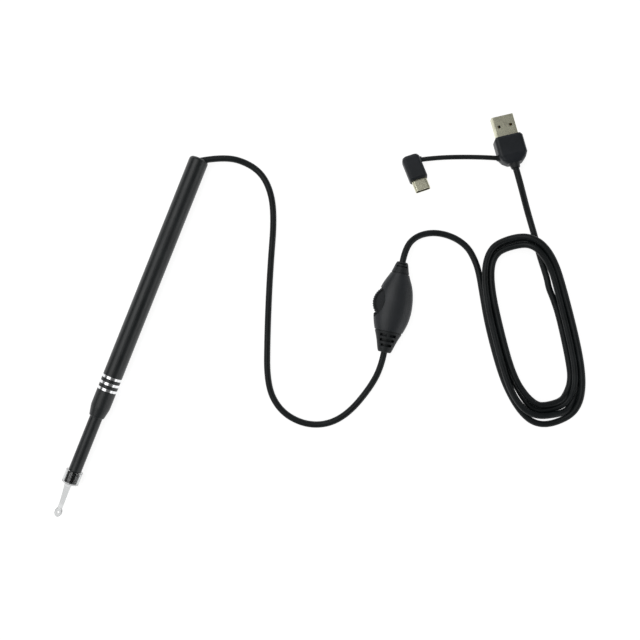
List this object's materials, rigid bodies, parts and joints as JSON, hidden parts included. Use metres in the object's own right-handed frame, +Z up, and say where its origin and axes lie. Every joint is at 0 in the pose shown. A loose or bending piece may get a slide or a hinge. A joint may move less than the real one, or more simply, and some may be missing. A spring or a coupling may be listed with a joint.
{
  "type": "ear wax cleaner",
  "caption": "USB ear camera pen with a clear push-on ear pick, a cord with an inline light dimmer, a loose coil, a USB-A plug and a branch to a right-angle USB-C plug.",
  "frame": {"origin": "on the floor plane, under the middle of the pen", "axes": "+X along the pen towards its tip, +Z up from the floor, the cord lies on the +Y side"},
  "size_m": [0.2965, 0.2493, 0.0124],
  "materials": {
    "pen_black": "satin black mouldings",
    "silver_ring": "polished",
    "clear_plastic": "clear, glossy",
    "lens_glass": "coated glass",
    "soft_black": "satin PVC",
    "cord_black": "satin PVC jacket",
    "dimmer_black": "satin",
    "plug_black": "satin over-moulding",
    "plug_metal": "nickel-plated steel",
    "contact_gold": "gold-plated",
    "insulator": "matt",
    "circuit_green": "solder mask",
    "chip_black": "epoxy",
    "led_yellow": "phosphor",
    "screw_steel": "zinc-plated"
  },
  "bodies": {
    "pen_and_cord": {"rear_cap": "pen_black", "cord_grommet": "soft_black", "handle_tube": "pen_black", "trim_rings": "silver_ring", "nose_cone": "pen_black", "camera_tube": "pen_black", "front_window": "lens_glass", "led_board": "circuit_green", "leds": "led_yellow", "lens_holder": "chip_black", "lenses": "lens_glass", "image_sensor": "chip_black", "camera_board": "circuit_green", "camera_chips": "chip_black", "inner_lead": "cord_black", "cord_anchor": "screw_steel", "dimmer_upper_shell": "dimmer_black", "dimmer_lower_shell": "dimmer_black", "pot_base": "insulator", "dimmer_board": "circuit_green", "dimmer_components": "chip_black", "relief_coil_side": "soft_black", "relief_pen_side": "soft_black", "usb_a_housing": "plug_black", "usb_a_relief": "soft_black", "usb_a_shell": "plug_metal", "usb_a_tongue": "insulator", "usb_a_contacts": "contact_gold", "usb_c_housing": "plug_black", "usb_c_shell": "plug_metal", "usb_c_insulator": "insulator", "usb_c_contacts": "contact_gold", "cord_pen_to_dimmer": "cord_black", "cord_dimmer_to_coil": "cord_black", "cord_coil": "cord_black", "cord_coil_to_usb_a": "cord_black", "branch_cord": "cord_black"},
    "wheel": {"dimmer_wheel": "dimmer_black", "wheel_screw": "screw_steel", "pot_rotor": "insulator"},
    "pick": {"ear_pick": "clear_plastic"}
  },
  "joints": [
    {"name": "wheel_turn", "type": "hinge", "parent": "pen_and_cord", "child": "wheel", "pos_m": [-0.07033, 0.12547, 0.0059], "axis": [0, 0, 1], "range_deg": [-130, 130]},
    {"name": "pick_slide", "type": "slide", "parent": "pen_and_cord", "child": "pick", "axis": [1, 0, 0], "range_m": [0, 0.012]}
  ]
}
